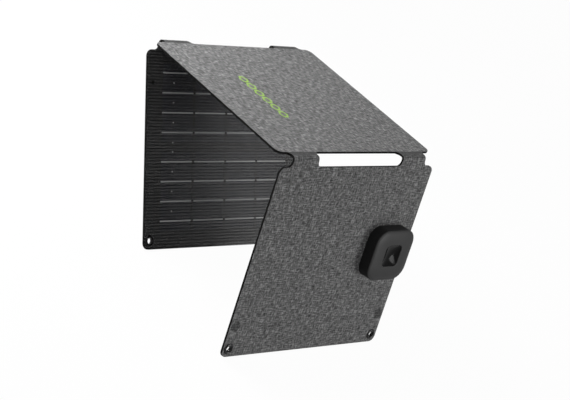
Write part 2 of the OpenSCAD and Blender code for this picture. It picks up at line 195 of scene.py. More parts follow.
def inside(points, loop):
    """Which of the points lie in the loop."""
    x, y = points[:, 0], points[:, 1]
    found = np.zeros(len(points), bool)
    for (x0, y0), (x1, y1) in zip(loop, loop[1:] + loop[:1]):
        if y0 != y1:
            cross = x < (x1 - x0) * (y - y0) / (y1 - y0) + x0
            found ^= ((y0 > y) != (y1 > y)) & cross
    return found


def fill(outer, holes, extra=()):
    """Triangles over the outline less its holes: (points, triangles), the loops' points first."""
    loops = [outer, *holes]
    points = [Vector(p) for loop in loops for p in loop]
    edges, first = [], 0
    for loop in loops:
        edges += [(first + i, first + (i + 1) % len(loop)) for i in range(len(loop))]
        first += len(loop)
    points += [Vector(p) for p in extra]
    flat, _, faces, origin, _, _ = delaunay_2d_cdt(points, edges, [], 1, 1e-7)
    back = [o[0] for o in origin]
    middle = np.array([sum((flat[i] for i in f), Vector((0, 0))) / len(f) for f in faces])
    keep = inside(middle, outer)
    for hole in holes:
        keep &= ~inside(middle, hole)
    made = []
    for f, k in zip(faces, keep):
        if k:
            a, b, c = (points[back[i]] for i in f)
            turn = (b - a).cross(c - a)
            made.append([back[i] for i in (f if turn > 0 else f[::-1])])
    return points, made


def quarter(r, steps=3):
    """(inset, drop) pairs of a rounded edge, from the wall to the face."""
    return [(r * (1 - math.cos(math.radians(90 * i / steps))),
             r * (1 - math.sin(math.radians(90 * i / steps)))) for i in range(steps + 1)]


def slab(outer, holes, top, bottom, rim=((0, 0),), mask=None, extra=(), lift=None):
    """A flat layer: (points as across, along, height; faces; whether each face is a wall).
    rim rounds the top's edge where mask is 1, and extra points on the top rise by lift."""
    points, faces, walls = [], [], []
    loops = [(outer, inward(outer), 1)] + [(h, inward(h), -1) for h in holes]
    first, last = {}, {}
    for way, level, steps in ((1, top, rim), (-1, bottom, ((0, 0),))):
        for number, (loop, normal, side) in enumerate(loops):
            for inset, drop in steps:
                start = len(points)
                for (x, y), (nx, ny) in zip(loop, normal):
                    m = mask(x, y) if mask and number == 0 else 1
                    d = side * inset * m
                    points.append((x + nx * d, y + ny * d, level - way * drop))
                if (way, number) in last:
                    walls += join(faces, last[way, number], start, len(loop), way * side > 0)
                elif way < 0:
                    walls += join(faces, start, first[number], len(loop), side > 0)
                else:
                    first[number] = start
                last[way, number] = start
    for way, level in ((1, top), (-1, bottom)):
        rings = [[points[last[way, k] + i][:2] for i in range(len(loops[k][0]))]
                 for k in range(len(loops))]
        index = [last[way, k] + i for k in range(len(loops)) for i in range(len(loops[k][0]))]
        flat, triangles = fill(rings[0], rings[1:], extra if way > 0 else ())
        for p in flat[len(index):]:
            index.append(len(points))
            points.append((p.x, p.y, level + (lift(p.x, p.y) if lift else 0)))
        for t in triangles:
            faces.append([index[i] for i in (t if way > 0 else t[::-1])])
            walls.append(False)
    return points, faces, walls


def join(faces, a, b, n, forward):
    """Quads between two rings of n points that start at a and b."""
    for i in range(n):
        j = (i + 1) % n
        quad = [a + i, a + j, b + j, b + i]
        faces.append(quad if forward else quad[::-1])
    return [True] * n


def grid_inside(w, l, step, clear, centre=(0, 0), holes=()):
    """Points of a staggered grid, clear of the sides and of the holes given as (x, y, r)."""
    made = []
    nx, ny = max(1, round((w - 2 * clear) / step)), max(1, round((l - 2 * clear) / step))
    for i in range(nx + 1):
        for j in range(ny + 1):
            x = centre[0] - w / 2 + clear + (w - 2 * clear) * i / nx
            y = centre[1] - l / 2 + clear + (l - 2 * clear) * j / ny
            if all(math.dist((x, y), (hx, hy)) > hr for hx, hy, hr in holes):
                made.append((x, y))
    return made


def rings_at(x, y, radii, steps=40):
    return [p for r in radii for p in circle(x, y, r, steps)] + [(x, y)]


def layer_object(name, made, place, pattern, face_materials):
    """A slab as an object: walls get the second material."""
    points, faces, walls = made
    verts = [place(*p) for p in points]
    uv = [pattern(p[0], p[1]) for p in points]
    if flat_turn(place) < 0:
        faces = [f[::-1] for f in faces]
    return new_mesh(name, verts, faces, face_materials, [int(w) for w in walls], uv)


def flat_turn(place):
    """Positive where (across, along, height) is right-handed in the row frame."""
    o = place(0, 0, 0)
    return (place(1, 0, 0) - o).cross(place(0, 1, 0) - o).dot(place(0, 0, 1) - o)


# ---- Materials ----

MAT = {}


class Paint:
    """A material and short ways to make its nodes."""

    def __init__(self, name, roughness, **more):
        self.mat = bpy.data.materials.new(name)
        self.mat.use_nodes = True
        self.tree = self.mat.node_tree
        self.shader = self.tree.nodes["Principled BSDF"]
        self.set("Roughness", roughness)
        for key, value in more.items():
            self.set(key.replace("_", " "), value)

    def set(self, name, value):
        self.join(value, self.shader.inputs[name])

    def join(self, value, socket):
        if isinstance(value, bpy.types.NodeSocket):
            self.tree.links.new(value, socket)
        else:
            socket.default_value = value

    def node(self, kind, inputs=(), **props):
        made = self.tree.nodes.new("ShaderNode" + kind)
        for key, value in props.items():
            setattr(made, key, value)
        for key, value in dict(inputs).items():
            self.join(value, made.inputs[key])
        return made

    def flat(self, across=1, along=1):
        """Flat pattern coordinates, scaled."""
        uv = self.node("UVMap", uv_map="flat").outputs[0]
        return self.node("VectorMath", {0: uv, 1: (across, along, 1)},
                         operation="MULTIPLY").outputs[0]

    def local(self, scale):
        """The piece's own coordinates, scaled."""
        at = self.node("TexCoord").outputs["Object"]
        return self.node("VectorMath", {0: at, 1: (scale,) * 3}, operation="MULTIPLY").outputs[0]

    def noise(self, vector, detail=2):
        return self.node("TexNoise", {"Vector": vector, "Scale": 1, "Detail": detail,
                                      "Roughness": 0.5}).outputs[0]

    def math(self, operation, a, b=0.0):
        return self.node("Math", {0: a, 1: b}, operation=operation).outputs[0]

    def about(self, value, centre, weight):
        """How far a value is from its centre, weighted."""
        return self.math("MULTIPLY", self.math("SUBTRACT", value, centre), weight)

    def ramp(self, value, stops):
        """Colours, or plain greys, at places along a value."""
        made = self.node("ValToRGB", {0: value})
        elements = made.color_ramp.elements
        elements.remove(elements[0])
        for i, (at, colour) in enumerate(stops):
            e = elements.new(at) if i else elements[0]
            e.position = at
            e.color = (*colour, 1) if hasattr(colour, "__len__") else (colour,) * 3 + (1,)
        return made.outputs[0]

    def bump(self, height, strength, distance):
        made = self.node("Bump", {"Height": height, "Strength": strength, "Distance": distance})
        self.set("Normal", made.outputs[0])


def weave(p, pitch=0.0007):
    """Plain weave height, 0 to 1, in the flat pattern."""
    k = math.pi / pitch
    parts = p.node("SeparateXYZ", {0: p.flat(k, k)})
    a = p.math("SINE", parts.outputs[0])
    b = p.math("SINE", parts.outputs[1])
    return p.math("ABSOLUTE", p.math("MULTIPLY", a, b))


def fold_painted_shade(p, depth):
    """-depth in a strip of painted shade beside each edge of the middle panel, else 0."""
    along = p.node("SeparateXYZ", {0: p.flat()}).outputs[1]
    front = p.math("ABSOLUTE", along)
    rear = p.math("ABSOLUTE", p.math("SUBTRACT", along, PANEL_H))
    near = p.math("MULTIPLY", p.math("MINIMUM", front, rear), 100)
    shade = p.ramp(near, [(0.0, 0.6), (0.03, 1.0), (0.42, 0.9), (0.72, 0.0)])
    return p.math("MULTIPLY", shade, -depth)


def magnet_shade(p, depth):
    """-depth in a round spot over each magnet, else 0."""
    parts = p.node("SeparateXYZ", {0: p.flat()})
    across = p.math("SUBTRACT", p.math("ABSOLUTE", parts.outputs[0]), MAGNET_X)
    across = p.math("MULTIPLY", across, across)
    marks = []
    for at in (-FRONT_GAP - MAGNET_Y["front"], PANEL_H + REAR_GAP + MAGNET_Y["rear"]):
        along = p.math("SUBTRACT", parts.outputs[1], at)
        away = p.math("SQRT", p.math("ADD", across, p.math("MULTIPLY", along, along)))
        marks.append(p.ramp(p.math("MULTIPLY", away, 100), [(0.52, 1.0), (0.66, 0.0)]))
    return p.math("MULTIPLY", p.math("ADD", *marks), -depth)


def melange_cloth(name, marks):
    """Grey yarns of mixed tones, crossed in a plain weave. marks makes its darker places: painted shade, and spots
    over the magnets.
    """
    p = Paint(name, 0.9, Sheen_Weight=0.1, Sheen_Roughness=0.5, Specular_IOR_Level=0.1)
    weft, warp = p.noise(p.flat(150, 860)), p.noise(p.flat(860, 150))
    mean = p.math("MULTIPLY", p.math("ADD", weft, warp), 0.35)
    cross = p.math("ADD", mean, p.math("MULTIPLY", p.math("MAXIMUM", weft, warp), 0.28))
    mixed = p.math("ADD", cross, p.about(p.noise(p.flat(60, 60)), 0.5, 0.07))
    mixed = p.math("ADD", mixed, p.about(weave(p, 0.0016), 0.4, 0.03))
    mixed = p.math("ADD", mixed, marks(p))
    p.set("Base Color", p.ramp(mixed, [(0.38, 0.035), (0.47, 0.1), (0.53, 0.1375), (0.62, 0.3)]))
    height = p.math("ADD", weave(p), p.math("MULTIPLY", cross, 1.5))
    p.bump(height, 0.6, 0.00025)
    return p.mat


def grained(p, grain, dark, light, bump):
    """Gives a material the colour and height of a fine grain."""
    p.set("Base Color", p.ramp(grain, [(0.3, dark), (0.7, light)]))
    p.bump(grain, bump, 0.0001)
    return p.mat


def cut_edge():
    p = Paint("cut_edge", 0.9, Specular_IOR_Level=0.08)
    return grained(p, p.noise(p.flat(2500, 2500)), 0.003, 0.009, 0.3)


def black_board():
    p = Paint("black_board", 0.9, Specular_IOR_Level=0.08)
    return grained(p, p.noise(p.local(900)), 0.003, 0.009, 0.3)


def plain_grain(name, dark, light, scale, roughness, bump=0.2, **more):
    """Moulded, plated or printed faces, with a grain of scale waves in a metre."""
    p = Paint(name, roughness, **more)
    return grained(p, p.noise(p.local(scale), detail=3), dark, light, bump)


def embossed_film():
    """Clear laminate with fine ridges across the panel and rows of dots on them."""
    p = Paint("embossed_film", 0.34, Alpha=0.42)
    parts = p.node("SeparateXYZ", {0: p.flat(2 * math.pi / DOT_PITCH, 2 * math.pi / RIDGE_PITCH)})
    ridge = p.math("SINE", parts.outputs[1])
    dots = p.math("MULTIPLY", p.math("SINE", parts.outputs[0]), 0.2)
    tone = p.math("MULTIPLY_ADD", p.math("ADD", ridge, dots), 0.4)
    tone.node.inputs[2].default_value = 0.5
    # The colour is lighter on the ridges' crests and on the dots: painted highlight for their reflections.
    p.set("Base Color", p.ramp(tone, [(0.1, 0.006), (0.9, 0.16)]))
    p.set("Specular IOR Level", p.ramp(tone, [(0.1, 0.3), (0.9, 1.15)]))
    return p.mat


def make_materials():
    MAT["cloth"] = melange_cloth("melange_cloth", lambda p: magnet_shade(p, 0.1))
    # The bands' cloth carries painted shade beside the middle panel's edges.
    MAT["band_cloth"] = melange_cloth("band_cloth", lambda p: fold_painted_shade(p, 0.2))
    MAT["edge"] = cut_edge()
    MAT["board"] = black_board()
    MAT["film"] = embossed_film()
    MAT["sheet"] = plain_grain("back_sheet_black", 0.006, 0.012, 700, 0.5,
                               Specular_IOR_Level=0.25)
    MAT["cell"] = plain_grain("cell_blue_black", (0.008, 0.009, 0.014), (0.018, 0.02, 0.03),
                              500, 0.35, Specular_IOR_Level=0.25)
    MAT["ribbon"] = plain_grain("tinned_ribbon", 0.86, 0.97, 900, 0.5,
                                Specular_IOR_Level=1.0)
    MAT["eyelet"] = plain_grain("eyelet_black", 0.002, 0.004, 400, 0.1, bump=0.05,
                                Specular_IOR_Level=0.15)
    MAT["magnet"] = plain_grain("nickel_plate", 0.4, 0.55, 500, 0.25, Metallic=1.0)
    MAT["liner"] = plain_grain("liner_black", 0.01, 0.02, 1200, 0.55)
    MAT["cable"] = plain_grain("copper_foil", (0.5, 0.24, 0.1), (0.65, 0.34, 0.16), 500, 0.35,
                               Metallic=0.9)
    MAT["box_black"] = plain_grain("moulded_black", 0.005, 0.008, 2500, 0.55,
                                   Specular_IOR_Level=0.2)
    MAT["lid_grey"] = plain_grain("moulded_charcoal", 0.03, 0.038, 2500, 0.33,
                                  Specular_IOR_Level=0.06)
    MAT["seal"] = plain_grain("seal_rubber", 0.008, 0.014, 1500, 0.7)
    MAT["window"] = plain_grain("smoked_window", 0.003, 0.006, 300, 0.14, bump=0.05,
                                Specular_IOR_Level=0.035)
    MAT["pcb"] = plain_grain("board_green", (0.01, 0.05, 0.02), (0.02, 0.09, 0.035), 800, 0.4)
    MAT["parts"] = plain_grain("parts_black", 0.015, 0.03, 900, 0.5)
    MAT["led"] = plain_grain("led_lens", (0.6, 0.75, 0.6), (0.75, 0.85, 0.75), 900, 0.3)
    MAT["socket"] = plain_grain("socket_steel", 0.45, 0.6, 700, 0.3, Metallic=1.0)
    MAT["screw"] = plain_grain("screw_steel", 0.3, 0.45, 900, 0.35, Metallic=1.0)
    MAT["lead"] = plain_grain("lead_red", (0.3, 0.02, 0.02), (0.42, 0.04, 0.03), 900, 0.45)
    MAT["lime"] = plain_grain("lime_print", (0.19, 0.33, 0.05), (0.26, 0.42, 0.07), 1500, 0.6)


# ---- Panels ----

def fold_mask(panel):
    """0 along the tabs, where a panel's face runs on into its band, and 1 elsewhere."""
    def mask(x, y):
        on_fold = any(abs(y - at) < 1e-6 for at in FOLDS[panel])
        return 0 if on_fold and TAB_FROM - 1e-6 <= abs(x) <= TAB_TO + 1e-6 else 1
    return mask


def panel_outline(panel):
    """The panel's outline, with points where the tabs begin and end."""
    base = rounded_rect(PANEL_W, PANEL_H, CORNER_R, (0, PANEL_H / 2))
    for at in FOLDS[panel]:
        stops = sorted((s * x for x in (TAB_FROM, TAB_TO) for s in (-1, 1)), reverse=at > 0)
        for i in range(len(base)):
            a, b = base[i], base[(i + 1) % len(base)]
            if abs(a[1] - at) < 1e-9 and abs(b[1] - at) < 1e-9 and math.dist(a, b) > 0.1:
                base[i + 1:i + 1] = [(x, at) for x in stops]
                break
    return split_edges(base, 0.012)


def eyelet_holes(panel):
    if panel not in MAGNET_Y:
        return []
    return [circle(s * EYELET_X, EYELET_Y, HOLE_R) for s in (-1, 1)]


def spots_to_clear(panel, room):
    """(x, y, r) that a grid of points keeps out of: eyelets, with some room, and magnets."""
    if panel not in MAGNET_Y:
        return []
    return [spot for s in (-1, 1) for spot in (
        (s * EYELET_X, EYELET_Y, HOLE_R + room), (s * MAGNET_X, MAGNET_Y[panel], MAGNET_CLEAR))]


def magnet_rings(panel):
    """Points where the face rises over each magnet."""
    if panel not in MAGNET_Y:
        return []
    return [p for s in (-1, 1) for p in rings_at(s * MAGNET_X, MAGNET_Y[panel], MAGNET_RINGS)]


def magnet_lift(panel, height):
    """The cloth or film stands a little proud over each magnet."""
    def lift(x, y):
        if panel not in MAGNET_Y:
            return 0
        r = min(math.dist((x, y), (s * MAGNET_X, MAGNET_Y[panel])) for s in (-1, 1))
        t = min(1, max(0, (MAGNET_R + 0.0008 - r) / 0.0012))
        return height * t * t * (3 - 2 * t)
    return lift


def cell_places():
    for c in range(COLUMNS):
        for b in range(BLOCKS):
            for r in range(ROWS):
                yield (SIDE_MARGIN - PANEL_W / 2 + c * (CELL_W + COLUMN_GAP),
                       FOLD_MARGIN + b * (BLOCK_H + BLOCK_GAP) + r * (CELL_H + ROW_GAP))


def flipped(place):
    """The same place with heights counted the other way, for a face on the inner side."""
    return lambda x, v, h: place(x, v, -h)


def cloth_layer(panel):
    extra = magnet_rings(panel) + grid_inside(PANEL_W, PANEL_H, 0.008, 0.004, (0, PANEL_H / 2),
                                              spots_to_clear(panel, 0.003))
    made = slab(panel_outline(panel), eyelet_holes(panel), CLOTH_Z, BOARD_Z, quarter(EDGE_ROUND),
                fold_mask(panel), extra, magnet_lift(panel, CLOTH_RISE))
    obj = layer_object(panel + "_cover", made, on_panel(panel), pattern_of(panel),
                       [MAT["cloth"], MAT["edge"]])
    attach(obj, panel + "_panel")
    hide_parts(panel + "_cloth")
    return obj


def board_layer(panel):
    """The stiffener, with a hole for each eyelet and magnet."""
    loops = eyelet_holes(panel)
    if panel in MAGNET_Y:
        loops += [circle(s * MAGNET_X, MAGNET_Y[panel], MAGNET_R + 0.0001) for s in (-1, 1)]
    made = slab(panel_outline(panel), loops, BOARD_Z, SHEET_Z)
    obj = layer_object(panel + "_stiffener", made, on_panel(panel), pattern_of(panel),
                       [MAT["board"], MAT["board"]])
    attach(obj, panel + "_panel")
    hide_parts(panel + "_board")


def sheet_layer(panel):
    """The back sheet, with a pocket for each cell in its inner face."""
    floor = FILM_Z + RIBBON_T + CELL_T
    pockets = [rounded_rect(CELL_W + 2 * POCKET_GAP, CELL_H + 2 * POCKET_GAP, POCKET_R,
                            (x + CELL_W / 2, y + CELL_H / 2), 2) for x, y in cell_places()]
    made = slab_with_pockets(panel_outline(panel), eyelet_holes(panel), pockets, -FILM_Z,
                             -SHEET_Z, -floor)
    obj = layer_object(panel + "_pocket_sheet", made, flipped(on_panel(panel)),
                       pattern_of(panel), [MAT["sheet"], MAT["edge"]])
    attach(obj, panel + "_panel")
    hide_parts(panel + "_back_sheet")


def slab_with_pockets(outer, holes, pockets, top, bottom, floor):
    """A slab whose top face is filled again round the pockets, which reach down to floor."""
    points, faces, walls = slab(outer, holes, top, bottom)
    keep = [i for i, f in enumerate(faces) if walls[i] or points[f[0]][2] < top - 1e-9]
    rings = [i for i in range(len(points)) if abs(points[i][2] - top) < 1e-9]
    faces, walls = [faces[i] for i in keep], [walls[i] for i in keep]
    flat, triangles = fill(outer, holes + pockets)
    by_place = {(round(points[i][0], 7), round(points[i][1], 7)): i for i in rings}
    index = []
    for p in flat:
        key = (round(p.x, 7), round(p.y, 7))
        if key not in by_place:
            by_place[key] = len(points)
            points.append((p.x, p.y, top))
        index.append(by_place[key])
    for t in triangles:
        faces.append([index[i] for i in t])
        walls.append(False)
    for pocket in pockets:
        upper = [by_place[round(x, 7), round(y, 7)] for x, y in pocket]
        start = len(points)
        points += [(x, y, floor) for x, y in pocket]
        n = len(pocket)
        for i in range(n):
            j = (i + 1) % n
            faces.append([upper[i], upper[j], start + j, start + i])
            walls.append(False)
        faces.append([start + i for i in range(n)])
        walls.append(False)
    return points, faces, walls


def ridge_dip(panel):
    """How far the film's face lies below its ridges at (across, along)."""
    pattern = pattern_of(panel)
    return lambda x, y: RIDGE_DEPTH / 2 * (
        math.sin(2 * math.pi * pattern(x, y)[1] / RIDGE_PITCH) - 1)


def ridge_points(panel, spots):
    """Points on each ridge's crest and valley, clear of the outline and of the spots."""
    start, way = PANELS[panel]["start"], PANELS[panel]["way"]
    rows = []
    for i in range(int((3 * PANEL_H + FRONT_GAP + REAR_GAP) / RIDGE_PITCH * 2)):
        y = way * ((i / 2 + 0.25) * RIDGE_PITCH - PANEL_H - FRONT_GAP - start)
        if 0.002 < y < PANEL_H - 0.002:
            rows.append(y)
    columns = [PANEL_W * (k / 20 - 0.5) for k in range(1, 20)]
    edge = PANEL_W / 2 - 0.0015
    made = []
    for y in rows:
        wide = edge if CORNER_R < y < PANEL_H - CORNER_R else edge - CORNER_R
        made += [(x, y) for x in [-wide, *columns, wide]
                 if all(math.dist((x, y), (sx, sy)) > r for sx, sy, r in spots)]
    return made


def film_layer(panel):
    """The ridged film: its face is as far from the mid-plane as the cloth's, on the other side,
    and its underside is sunk into the sheet, as glued on."""
    dip, rise = ridge_dip(panel), magnet_lift(panel, FILM_RISE)
    extra = magnet_rings(panel) + ridge_points(panel, spots_to_clear(panel, 0.001))
    made = slab(panel_outline(panel), eyelet_holes(panel), CLOTH_Z, -FILM_Z - GLUE_T,
                quarter(FILM_T * 0.7, 2), fold_mask(panel), extra,
                lambda x, y: dip(x, y) + rise(x, y))
    obj = layer_object(panel + "_laminate", made, flipped(on_panel(panel)), pattern_of(panel),
                       [MAT["film"], MAT["edge"]])
    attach(obj, panel + "_panel")
    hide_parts(panel + "_film")


def discs(name, panel, places, r, low, high, material):
    """Flat discs on or in the inner face, from low to high above the mid-plane."""
    place = flipped(on_panel(panel))
    verts, faces, n = [], [], 16
    for x, y in places:
        start = len(verts)
        verts += [place(a, b, z) for z in (low, high) for a, b in circle(x, y, r, n)]
        faces += [[start + k for k in range(n)][::-1], [start + n + k for k in range(n)]]
        faces += [[start + k, start + (k + 1) % n, start + n + (k + 1) % n, start + n + k]
                  for k in range(n)]
    if flat_turn(place) < 0:
        faces = [f[::-1] for f in faces]
    obj = new_mesh(name, verts, faces, [MAT[material]])
    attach(obj, panel + "_panel")


def solder_dots(panel):
    """Bright joints between the rows of the first column, seen through the film."""
    x = SIDE_MARGIN - PANEL_W / 2 + CELL_W * 0.36
    rows = sorted(y for cx, y in cell_places() if cx < CELL_W - PANEL_W / 2)
    places = [(x, y - ROW_GAP / 2) for y in rows[1:]] + [(x, rows[ROWS] - BLOCK_GAP + ROW_GAP)]
    discs(panel + "_solder_dots", panel, places, 0.0006, -FILM_Z + 0.00005, -FILM_Z + 0.0001,
          "ribbon")


def magnet_marks(panel):
    """A dark spot on the film over each magnet."""
    places = [(s * MAGNET_X, MAGNET_Y[panel]) for s in (-1, 1)]
    top = CLOTH_Z + FILM_RISE
    discs(panel + "_magnet_marks", panel, places, 0.0022, top - 0.00002, top + 0.00003, "edge")


def lathe(profile, steps=48):
    """A closed ring turned about the height axis from (radius, height) points."""
    n = len(profile)
    points = [(r * math.cos(2 * math.pi * i / steps), r * math.sin(2 * math.pi * i / steps), z)
              for i in range(steps) for r, z in profile]
    faces = []
    for i in range(steps):
        for k in range(n):
            a, b = i * n + k, i * n + (k + 1) % n
            c, d = ((i + 1) % steps) * n + (k + 1) % n, ((i + 1) % steps) * n + k
            faces.append([a, d, c, b])
    return points, faces


def eyelet_profile():
    """Barrel with a rolled flange on each side."""
    lip, half, seat = EYELET_WALL, CLOTH_Z, 0.00002
    tall = 2.4 * lip
    roll = (EYELET_FLANGE_R - EYELET_BORE_R) / 2
    upper = []
    for i in range(9):
        a = math.radians(180 - 180 * i / 8)
        upper.append((EYELET_BORE_R + roll + roll * math.cos(a),
                      half + 4 * seat + tall * math.sin(a)))
    upper += [(EYELET_FLANGE_R - lip * 0.6, half + seat), (EYELET_BORE_R + lip, half + seat)]
    return upper + [(r, -z) for r, z in reversed(upper)]


def eyelet_pair(panel):
    points, faces = lathe(eyelet_profile())
    place = on_panel(panel)
    verts, all_faces = [], []
    for s in (-1, 1):
        start = len(verts)
        verts += [place(s * EYELET_X + x, EYELET_Y + y, z) for x, y, z in points]
        all_faces += [[start + i for i in f] for f in faces]
    if flat_turn(place) > 0:
        all_faces = [f[::-1] for f in all_faces]
    obj = new_mesh(panel + "_eyelet_pair", verts, all_faces, [MAT["eyelet"]])
    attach(obj, panel + "_panel")
    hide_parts(panel + "_eyelets")


# ---- Hinge bands: one smooth bend from edge to edge, as long as the flat band ----

LEAN = {"front": 0.42, "rear": 0.5}
SLACK = {"front": 1.13, "rear": 1.0}
NEAR_DENT, FAR_DENT = (0.0016, 0.00012), (0.0018, 0.00025)    # where it is deepest, and its depth
PUCKERS, PUCKER_SHARE = ((1.0, 2100, 0), (0.7, 3370, 1), (0.5, 1310, 2)), 0.22


def dent(away, reach, depth):
    t = away / reach
    return depth * (t * math.exp(1 - t) if t < 8 else 0)


def crease(x, s, gap):
    """How far the cloth dips where the boards end, with fine puckers across it."""
    dip = dent(s, *NEAR_DENT) + dent(gap - s, *FAR_DENT)
    pucker = sum(size * math.sin(x * wave + phase) for size, wave, phase in PUCKERS)
    return -dip * (1 + PUCKER_SHARE * pucker)


def band_curve(panel, at_end, gap, lean):
    """Where (across, along the band, height) lies: the band's mid-line is one smooth bend, a
    little longer than the flat band where it puffs out. lean is the share of its handles on the
    middle panel's side, so a small one bends it near there."""
    middle = PANELS["middle"]
    start = middle["edge"] + middle["u"] * (PANEL_H if at_end else 0)
    leave = middle["u"] * (1 if at_end else -1)
    end, arrive = PANELS[panel]["edge"], PANELS[panel]["u"]
    t = np.linspace(0, 1, 401)[:, None]

    def curve(k):
        handles = (start, start + leave * k * lean, end - arrive * k * (1 - lean), end)
        p = [np.array(q) for q in handles]
        line = ((1 - t) ** 3 * p[0] + 3 * t * (1 - t) ** 2 * p[1]
                + 3 * t * t * (1 - t) * p[2] + t ** 3 * p[3])
        return line, np.concatenate([[0], np.cumsum(np.linalg.norm(np.diff(line, axis=0), axis=1))])

    low, high = 0.0, 3 * gap
    for _ in range(40):
        k = (low + high) / 2
        low, high = (k, high) if curve(k)[1][-1] < gap * SLACK[panel] else (low, k)
    line, length = curve(k)
    tangent = np.gradient(line, axis=0)
    tangent /= np.linalg.norm(tangent, axis=1)[:, None]
    tangent[0], tangent[-1] = np.array(leave), np.array(arrive)
    normal = np.cross(np.array(X_AXIS), tangent) * (1 if at_end else -1)

    def at(x, s, h):
        share = s / gap * length[-1]
        p = [np.interp(share, length, line[:, i]) for i in range(3)]
        n = Vector([np.interp(share, length, normal[:, i]) for i in range(3)]).normalized()
        return Vector(p) + X_AXIS * x + n * (h + crease(x, s, gap))
    return at


def tab_sides(gap, s):
    """The tab's inner and outer |x| at s along the band."""
    r = TAB_FILLET
    short = max(0, r - s, r - (gap - s))
    bow = r - math.sqrt(max(0, r * r - short * short))
    return TAB_INNER - bow, TAB_OUTER + bow


def band_layer(name, panel, gap, at_end, half, top, bottom, material, node, channel=None):
    """Half of a band's layer, on both tabs."""
    place = band_curve(panel, at_end, gap, LEAN[panel])
    r, steps = gap / 2, 14
    rows = [r - r * math.cos(math.pi * i / (2 * steps)) for i in range(2 * steps + 1)]
    rows = rows[:steps + 1] if half == 0 else rows[steps:]
    base = PANEL_H if at_end else 0
    way = 1 if at_end else -1
    verts, faces, mats, uv = [], [], [], []
    for side in (-1, 1):
        cut = channel if channel and side > 0 else None
        grid = []
        for s in rows:
            a, b = tab_sides(gap, s)
            xs = [a + (b - a) * i / 24 for i in range(25)]
            levels = [bottom] * 25
            if cut:
                lo, hi, depth = cut
                xs = [a + (lo - a) * i / 9 for i in range(10)] + [
                    lo + (hi - lo) * i / 6 for i in range(7)] + [
                    hi + (b - hi) * i / 9 for i in range(10)]
                levels = [bottom] * 10 + [bottom + depth] * 7 + [bottom] * 10
            grid.append([(side * x, s, z) for x, z in zip(xs, levels)])
        n = len(grid[0])
        start = len(verts)
        for row in grid:
            verts += [place(x, s, top) for x, s, z in row]
            verts += [place(x, s, z) for x, s, z in row]
            uv += [(x, base + way * s) for x, s, z in row] * 2
        wide = 2 * n
        for i in range(len(grid) - 1):
            for k in range(n - 1):
                p, q = start + i * wide + k, start + (i + 1) * wide + k
                faces.append([p, p + 1, q + 1, q])
                faces.append([p + n, q + n, q + n + 1, p + n + 1])
                mats += [0, 0]
            for k, order in ((0, 1), (n - 1, -1)):
                p, q = start + i * wide + k, start + (i + 1) * wide + k
                faces.append([p, q, q + n, p + n][::order])
                mats.append(1)
        for i, order in ((0, -1), (len(grid) - 1, 1)):
            for k in range(n - 1):
                p = start + i * wide + k
                faces.append([p, p + 1, p + 1 + n, p + n][::-order])
                mats.append(1)
        if (side * way) < 0:
            done = sum(1 for f in faces if f[0] >= start)
            faces[-done:] = [f[::-1] for f in faces[-done:]]
    if half == 0:
        start, end = place(0, 0, 0), place(0, r, 0)
    else:
        start, end = place(0, r, 0), place(0, gap, 0)
    obj = new_mesh(name, verts, faces, material, mats, uv, sharp=50)
    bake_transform(obj)
    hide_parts(node)
    return obj


def cable_layer(name, panel, gap, at_end, half, node):
    """Half of the flat cable that runs inside the right-hand tab."""
    place = band_curve(panel, at_end, gap, LEAN[panel])
    r, steps = gap / 2, 14
    rows = [r * (half + i / steps) for i in range(steps + 1)]
    low = (TAB_INNER + TAB_OUTER - CABLE_W) / 2
    top, bottom = SHEET_Z + CABLE_T, SHEET_Z + 0.00002
    loop = [(low, top), (low + CABLE_W, top), (low + CABLE_W, bottom), (low, bottom)]
    verts = [place(x, s, z) for s in rows for x, z in loop]
    faces = [[i * 4 + k, i * 4 + (k + 1) % 4, (i + 1) * 4 + (k + 1) % 4, (i + 1) * 4 + k]
             for i in range(steps) for k in range(4)]
    faces += [[3, 2, 1, 0], [steps * 4 + k for k in range(4)]]
    if not at_end:
        faces = [f[::-1] for f in faces]
    obj = new_mesh(name, verts, faces, [MAT["cable"]], sharp=50)
    start, end = place(0, r * half, 0), place(0, r * (half + 1), 0)
    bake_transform(obj)
    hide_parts(node)


def make_band(panel, gap, at_end):
    cloths = []
    low = (TAB_INNER + TAB_OUTER - CABLE_W) / 2
    channel = (low - 0.0001, low + CABLE_W + 0.0001, CABLE_T + 0.0001)
    for half, word in ((0, "upper"), (1, "lower")):
        base = panel + "_band_"
        cloths.append(band_layer(base + "cover_" + word, panel, gap, at_end, half, CLOTH_Z, BOARD_Z,
                                 [MAT["band_cloth"], MAT["edge"]], base + "cloth"))
        band_layer(base + "core_" + word, panel, gap, at_end, half, BOARD_Z, SHEET_Z,
                   [MAT["edge"], MAT["edge"]], base + "core", channel)
        band_layer(base + "liner_" + word, panel, gap, at_end, half, SHEET_Z, -CLOTH_Z,
                   [MAT["liner"], MAT["edge"]], base + "liner")
        cable_layer(base + "cable_" + word, panel, gap, at_end, half, base + "cable")
    return cloths


# ---- Junction box: pillowed lid with its dish, and the smoked window in it ----

def box_place():
    at = on_panel("front")
    return lambda x, y, z: at(BOX_X + x, BOX_Y + y, CLOTH_Z + z)


